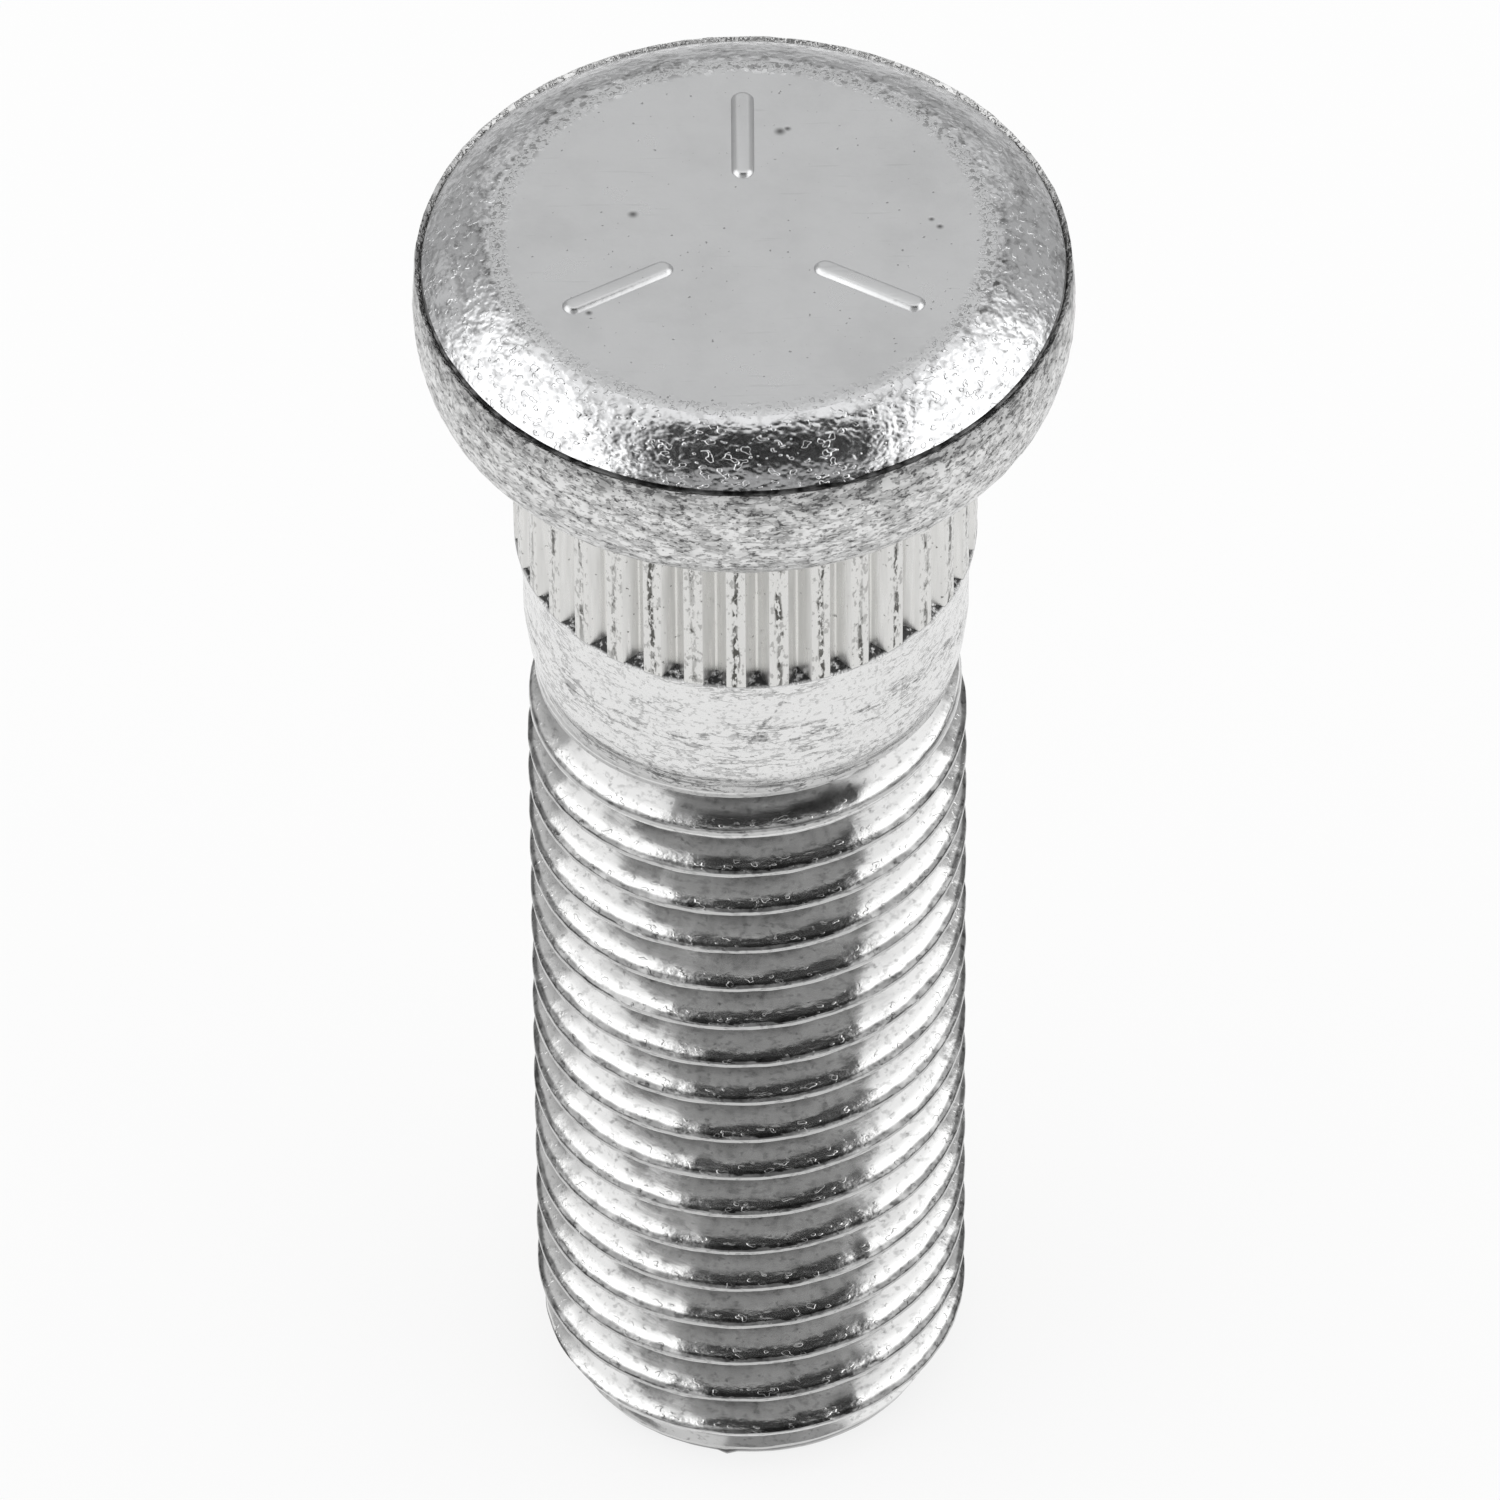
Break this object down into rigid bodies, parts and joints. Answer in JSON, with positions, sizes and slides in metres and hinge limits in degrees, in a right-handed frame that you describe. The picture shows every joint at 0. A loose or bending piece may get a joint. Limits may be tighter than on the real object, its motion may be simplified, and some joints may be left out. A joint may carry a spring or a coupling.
{
  "type": "wheel stud",
  "caption": "Press-in wheel stud with a domed head, a knurl under the head, a plain shoulder and a threaded shank.",
  "frame": {"origin": "centre of the flat end face at the threaded end", "axes": "+Z along the stud's axis, from the threaded end to the head"},
  "size_m": [0.0176, 0.0176, 0.0424],
  "materials": {
    "zinc_plated_steel": "bright zinc plate on forged and rolled steel, satin flat top, finely pitted rim and shoulder"
  },
  "bodies": {
    "root": {"wheel_stud": "zinc_plated_steel"}
  },
  "joints": []
}
